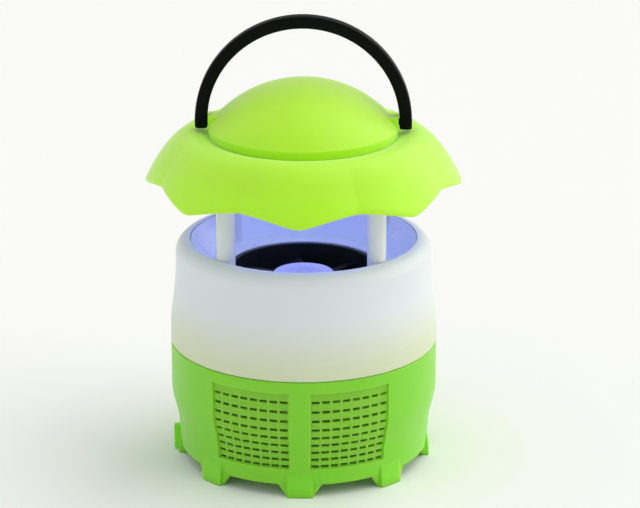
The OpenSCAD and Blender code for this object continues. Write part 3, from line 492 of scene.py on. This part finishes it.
def banded(name, rgb, other, roughness, pitch_mm, axis, depth_mm, metallic=0.0):
    """Stacked or wound stock: bands across one axis, such as laminations or wire turns.

    Pitch_mm is the real pitch, which is too fine to show. The bands are drawn 2 pi times as coarse.
    """
    material, tree, place = start(name)
    wave = add(tree, "ShaderNodeTexWave",
               {"Vector": place, "Scale": per_metre(pitch_mm) / WAVE_RADIANS, "Distortion": 0.4, "Detail": 1.0},
               wave_type="BANDS", bands_direction=axis)
    tint = add(tree, "ShaderNodeMix", {0: wave.outputs["Fac"], 6: shade(other, 1), 7: shade(rgb, 1)}, data_type="RGBA")
    end(tree, Base_Color=tint.outputs[2], Metallic=metallic, Roughness=roughness,
        Normal=raised(tree, wave.outputs["Fac"], depth_mm))
    return material


def solder_mask(name, rgb):
    """Glass-fibre board under green solder mask: a weave that barely shows and a lattice of tracks a shade lighter."""
    material, tree, place = start(name)
    tracks = add(tree, "ShaderNodeTexVoronoi", {"Vector": place, "Scale": per_metre(3.2)},
                 feature="DISTANCE_TO_EDGE", distance="CHEBYCHEV")
    edge = add(tree, "ShaderNodeMapRange", {0: tracks.outputs[0], 1: 0.05, 2: 0.1, 3: 1.0, 4: 0.0})
    tint = add(tree, "ShaderNodeMix", {0: edge.outputs[0], 6: shade(rgb, 1), 7: shade(rgb, 2.2)}, data_type="RGBA")
    weave = add(tree, "ShaderNodeTexChecker", {"Vector": place, "Scale": per_metre(0.9)})
    end(
        tree,
        Base_Color=tint.outputs[2],
        Roughness=varied(tree, place, 0.28, 0.38, 4),
        Normal=raised(tree, weave.outputs[1], 0.012, 0.4),
        Coat_Weight=0.4,
        Coat_Roughness=0.2,
    )
    return material


def lit_lens(name, rgb, strength):
    """Clear epoxy lens of a lit lamp: bright violet, its colour painted brighter low on its dome as painted glow, with
    a smooth wet gloss.
    """
    material, tree, place = start(name)
    split = add(tree, "ShaderNodeSeparateXYZ", {"Vector": place})
    # Painted glow: the colour is painted brighter low on the dome and darker towards its top.
    glow = add(tree, "ShaderNodeMapRange", {0: split.outputs[2], 1: LAMP_HIGH.z, 2: LAMP_LOW.z, 3: 0.25, 4: 1.0})
    tint = add(tree, "ShaderNodeMix", {0: glow.outputs[0], 6: shade(rgb, 0.5), 7: shade(rgb, 1)}, data_type="RGBA")
    end(
        tree,
        Base_Color=tint.outputs[2],
        Roughness=varied(tree, place, 0.05, 0.1, 2),
        Emission_Color=list(rgb) + [1],
        Emission_Strength=strength,
        Coat_Weight=0.6,
        Coat_Roughness=0.05,
    )
    return material


def hub_disc(name, rgb):
    """Satin white disc on the fan's hub: rings from its turned mould and a greyer middle.

    The mould's rings are 1.1 mm apart. They are drawn 7 mm apart so that they show.
    """
    material, tree, place = start(name)
    rings = add(tree, "ShaderNodeTexWave", {"Vector": place, "Scale": per_metre(1.1) / WAVE_RADIANS, "Detail": 0.0},
                wave_type="RINGS", rings_direction="Z")
    length = add(tree, "ShaderNodeVectorMath", {0: place, 1: (1, 1, 0)}, operation="MULTIPLY")
    radius = add(tree, "ShaderNodeVectorMath", {0: length.outputs[0]}, operation="LENGTH")
    band = add(tree, "ShaderNodeMapRange", {0: radius.outputs["Value"], 1: 9.4 * MM, 2: 9.6 * MM, 3: 0.0, 4: 1.0})
    tint = add(tree, "ShaderNodeMix", {0: band.outputs[0], 6: shade(rgb, 0.86), 7: shade(rgb, 1)}, data_type="RGBA")
    end(tree, Base_Color=tint.outputs[2], Roughness=varied(tree, place, 0.3, 0.4, 3),
        Normal=raised(tree, rings.outputs["Fac"], 0.02, 0.5))
    return material


def dress(material, *names):
    """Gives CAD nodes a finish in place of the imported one."""
    for name in names:
        slots = NODES[name].data.materials
        slots.clear()
        slots.append(material)


# ---- Operators ----

class TRAP_OT_cap(Operator):
    """Draw the petal brim and give the cap its translucent lime"""
    bl_idname = "trap.cap"
    bl_label = "Cap"

    def execute(self, context):
        shape, colours = context.scene.trap_shape, context.scene.trap_colours
        # Polypropylene with a little milkiness: light enters, spreads and comes back warmer, so shade stays bright.
        lime = moulded("translucent_lime_polypropylene", colours.cap, 0.45, 0.9, 0.02, 0.05, 0.45,
                       (0.9, 1.0, 0.25), 5.0, haze=0.35)
        angle, radius, z = brim_sections(shape)
        grid = np.stack([radius * np.sin(angle), -radius * np.cos(angle), z], -1)
        piece("petal_brim", [ring_shell(grid)], lime, "head", "petal_skirt")
        dress(lime, "crown")
        return {"FINISHED"}


class TRAP_OT_handle(Operator):
    """Draw the folding handle with rounded edges and its two pins"""
    bl_idname = "trap.handle"
    bl_label = "Handle"

    def execute(self, context):
        shape, colours = context.scene.trap_shape, context.scene.trap_colours
        # Black acetal: dense and smooth with a soft sheen that shows as a thin line along its rounded edges.
        black = moulded("satin_black_acetal", colours.handle, 0.38, 0.7, 0.008, 0.15, gloss=0.08)
        shells = [tube_shell(handle_grid(shape)), tube_shell(handle_pin(1)), tube_shell(handle_pin(-1))]
        piece("bail_handle", shells, black, "handle", "carry_handle")
        return {"FINISHED"}


class TRAP_OT_housing(Operator):
    """Give the housing, the funnel, its posts and the lamp plate their milky white"""
    bl_idname = "trap.housing"
    bl_label = "Housing"

    def execute(self, context):
        colours = context.scene.trap_colours
        # ABS with white pigment: even, faintly milky, with a low sheen from a fine-textured mould.
        # Low down its thin wall is painted a faint green, painted light for the light that comes up from the lime
        # basket under it.
        white = moulded("milky_white_abs", colours.housing, 0.4, 0.8, 0.012, 0.012, 0.15, (1.0, 1.0, 1.0), 3.0,
                        painted_basket_light=(linear("#D2DAB6"), 60 * MM, 92 * MM))
        # The same ABS from a polished mould, with a thin gloss.
        smooth = moulded("smooth_white_abs", colours.housing, 0.3, 1.2, 0.005, 0.01, 0.15, (1.0, 1.0, 1.0), 3.0,
                         coat=0.15)
        dress(white, "upper_housing")
        dress(smooth, "intake_funnel", "intake_posts", "lamp_plate")
        return {"FINISHED"}


class TRAP_OT_basket(Operator):
    """Give the basket its deeper lime"""
    bl_idname = "trap.basket"
    bl_label = "Basket"

    def execute(self, context):
        colours = context.scene.trap_colours
        # Polypropylene, more pigment than the cap: satin, a little light through its thin grilles.
        lime = moulded("satin_lime_polypropylene", colours.basket, 0.42, 0.8, 0.02, 0.04, 0.7,
                       (0.8, 1.0, 0.3), 9.0, haze=0.1)
        dress(lime, "collection_basket")
        return {"FINISHED"}


class TRAP_OT_fan(Operator):
    """Draw the fan's rotor with twisted blades and give the fan and its motor their finishes"""
    bl_idname = "trap.fan"
    bl_label = "Fan"

    def execute(self, context):
        shape, colours = context.scene.trap_shape, context.scene.trap_colours
        # Glass-filled PBT: blue black with a dull sheen and faint flow marks.
        black = moulded("glass_filled_black_pbt", colours.fan, 0.42, 0.5, 0.015, 0.2)
        turns = [k * 2 * math.pi / BLADE_COUNT for k in range(BLADE_COUNT)]
        shells = [ring_shell(turned(*hub_section()))] + [tube_shell(blade_grid(shape, turn)) for turn in turns]
        piece("fan_rotor", shells, black, "rotor", "fan_impeller")
        dress(black, "fan_frame")
        dress(hub_disc("satin_white_hub_disc", linear("#C9CDE4")), "hub_cap")
        # Silicon steel sheets 0.5 mm thick, stacked, so dark lines run round the core, drawn 3 mm apart.
        dress(banded("stacked_silicon_steel", linear("#8C9096"), linear("#55585D"), 0.45, 0.5, "Z", 0.03, 1.0),
              "stator_core")
        # Enamelled copper 0.3 mm thick, wound in flat turns, warm and glossy, drawn 2 mm apart.
        dress(banded("wound_enamelled_copper", linear("#C8682E"), linear("#7A3818"), 0.25, 0.3, "Z", 0.05, 1.0),
              "stator_windings")
        # Sintered bronze: matt and open-grained.
        dress(metal("sintered_bronze", linear("#B08A50"), 0.5, 0.2, (1, 1, 1), 0.02), "fan_bearing")
        # Drawn steel with soft zinc plating, streaked along the draw.
        dress(metal("drawn_zinc_steel", linear("#B9BCC0"), 0.32, 0.3, (1, 1, 0.1), 0.006), "rotor_yoke")
        # Ground steel, bright, with marks round the shaft.
        dress(metal("ground_steel", linear("#C9CCD0"), 0.18, 0.1, (0.2, 0.2, 1), 0.003), "rotor_shaft")
        # Ferrite: dark grey pressed powder.
        dress(moulded("pressed_ferrite", linear("#3A3A3C"), 0.6, 0.3, 0.02, 0.1), "rotor_magnet")
        return {"FINISHED"}


class TRAP_OT_lamp(Operator):
    """Light the lamp ring and finish its lamps"""
    bl_idname = "trap.lamp"
    bl_label = "Lamp ring"

    def execute(self, context):
        colours, light = context.scene.trap_colours, context.scene.trap_light
        dress(lit_lens("lit_violet_epoxy", linear("#8D7BFF"), 5.0), "uv_leds")
        ring = bpy.data.lights.new("lamp_glow", "AREA")
        ring.shape, ring.size = "DISK", LAMP_RING_D
        ring.color, ring.energy = colours.lamp, light.lamp_power
        glow = bpy.data.objects.new("lamp_glow", ring)
        glow.location = (0, 0, LAMP_LOW.z - LAMP_RING_DROP)
        context.scene.collection.objects.link(glow)
        return {"FINISHED"}


class TRAP_OT_electrics(Operator):
    """Finish the boards, the switch, the socket and the leads"""
    bl_idname = "trap.electrics"
    bl_label = "Electrics"

    def execute(self, context):
        dress(solder_mask("green_solder_mask", linear("#175F35")),
              "led_board", "fan_driver_board", "power_board")
        # Epoxy and ceramic bodies of the components, dull black.
        dress(moulded("dull_black_epoxy", linear("#1B1B1D"), 0.5, 0.4, 0.01, 0.1),
              "led_resistors", "board_components")
        # Black nylon of the switch and socket, satin.
        dress(moulded("satin_black_nylon", linear("#141517"), 0.35, 0.6, 0.01, 0.1),
              "power_socket", "switch_body", "switch_rocker")
        # Soft PVC jacket, faintly ribbed by its extrusion.
        dress(moulded("soft_pvc_jacket", linear("#26262A"), 0.48, 0.5, 0.03, 0.08), "lamp_lead", "fan_lead")
        # Nickel-plated contacts, bright.
        dress(metal("nickel_plate", linear("#CFC9BC"), 0.22, 0.2, (1, 0.1, 1), 0.003),
              "socket_pin", "switch_terminals")
        return {"FINISHED"}


class TRAP_OT_screws(Operator):
    """Finish the screws"""
    bl_idname = "trap.screws"
    bl_label = "Screws"

    def execute(self, context):
        # Zinc-plated steel: cool grey, turned marks round the heads.
        dress(metal("zinc_plated_steel", linear("#AEB4BA"), 0.3, 0.25, (1, 1, 3), 0.008),
              "cap_screws", "post_screws", "fan_screws", "board_screws")
        return {"FINISHED"}


class TRAP_OT_stage(Operator):
    """Lay the pale floor and set the light and the camera"""
    bl_idname = "trap.stage"
    bl_label = "Stage"

    def execute(self, context):
        scene, light = context.scene, context.scene.trap_light
        floor_mesh = bpy.data.meshes.new("pale_floor")
        corners = [(x * FLOOR_HALF, y * FLOOR_HALF, 0) for x, y in ((-1, -1), (1, -1), (1, 1), (-1, 1))]
        floor_mesh.from_pydata(corners, [], [(0, 1, 2, 3)])
        floor = bpy.data.objects.new("pale_floor", floor_mesh)
        scene.collection.objects.link(floor)
        # Matt painted sheet, barely uneven.
        material, tree, place = start("matt_pale_sheet")
        end(tree, Base_Color=mottled(tree, place, linear("#EFEFED"), 400, 0.006), Roughness=0.75,
            Specular_IOR_Level=0.2)
        floor_mesh.materials.append(material)

        # Spread is the light's width in degrees, and toward is the direction that it comes from
        for name, strength, spread, toward, tint in (
            ("key_light", light.key_strength, 90, (1.0, 0.25, 0.75), "#FFFDF8"),
            ("fill_light", light.fill_strength, 110, (-0.9, -0.3, 1.2), "#FFFFFF"),
        ):
            data = bpy.data.lights.new(name, "SUN")
            data.energy, data.angle, data.color = strength, math.radians(spread), linear(tint)
            lamp = bpy.data.objects.new(name, data)
            lamp.rotation_euler = Vector(toward).to_track_quat("Z", "Y").to_euler()
            scene.collection.objects.link(lamp)

        world = bpy.data.worlds.new("white_surround")
        world.use_nodes = True
        backdrop = world.node_tree.nodes["Background"]
        backdrop.inputs["Color"].default_value = linear("#F5F7FA") + [1]
        backdrop.inputs["Strength"].default_value = light.sky
        scene.world = world
        scene.view_settings.view_transform = "Standard"

        camera = bpy.data.cameras.new("camera")
        camera.sensor_width, camera.lens = CAMERA_SENSOR, CAMERA_LENS
        camera.clip_start, camera.clip_end = CAMERA_NEAR, CAMERA_FAR
        view = bpy.data.objects.new("camera", camera)
        view.location = CAMERA_PLACE
        view.rotation_euler = (math.radians(CAMERA_TILT), 0, math.radians(CAMERA_TURN))
        scene.collection.objects.link(view)
        scene.camera = view
        return {"FINISHED"}


OPERATORS = (
    TRAP_OT_cap, TRAP_OT_handle, TRAP_OT_housing, TRAP_OT_basket, TRAP_OT_fan, TRAP_OT_lamp, TRAP_OT_electrics,
    TRAP_OT_screws, TRAP_OT_stage,
)
SETTINGS = {"trap_shape": TrapShape, "trap_colours": TrapColours, "trap_light": TrapLight}


class TRAP_PT_sidebar(Panel):
    """Settings and build steps of the trap"""
    bl_idname = "TRAP_PT_sidebar"
    bl_label = "Insect trap"
    bl_space_type = "VIEW_3D"
    bl_region_type = "UI"
    bl_category = "Trap"

    def draw(self, context):
        for name, group in SETTINGS.items():
            box = self.layout.box()
            for key in group.__annotations__:
                box.prop(getattr(context.scene, name), key)
        for operator in OPERATORS:
            self.layout.operator(operator.bl_idname)


def register():
    for group in SETTINGS.values():
        bpy.utils.register_class(group)
    for name, group in SETTINGS.items():
        setattr(bpy.types.Scene, name, PointerProperty(type=group))
    for kind in (*OPERATORS, TRAP_PT_sidebar):
        bpy.utils.register_class(kind)


def unregister():
    for kind in reversed((*OPERATORS, TRAP_PT_sidebar)):
        bpy.utils.unregister_class(kind)
    for name, group in SETTINGS.items():
        delattr(bpy.types.Scene, name)
        bpy.utils.unregister_class(group)


def main():
    register()
    for operator in OPERATORS:
        group, name = operator.bl_idname.split(".")
        getattr(getattr(bpy.ops, group), name)()


if __name__ == "__main__":
    main()
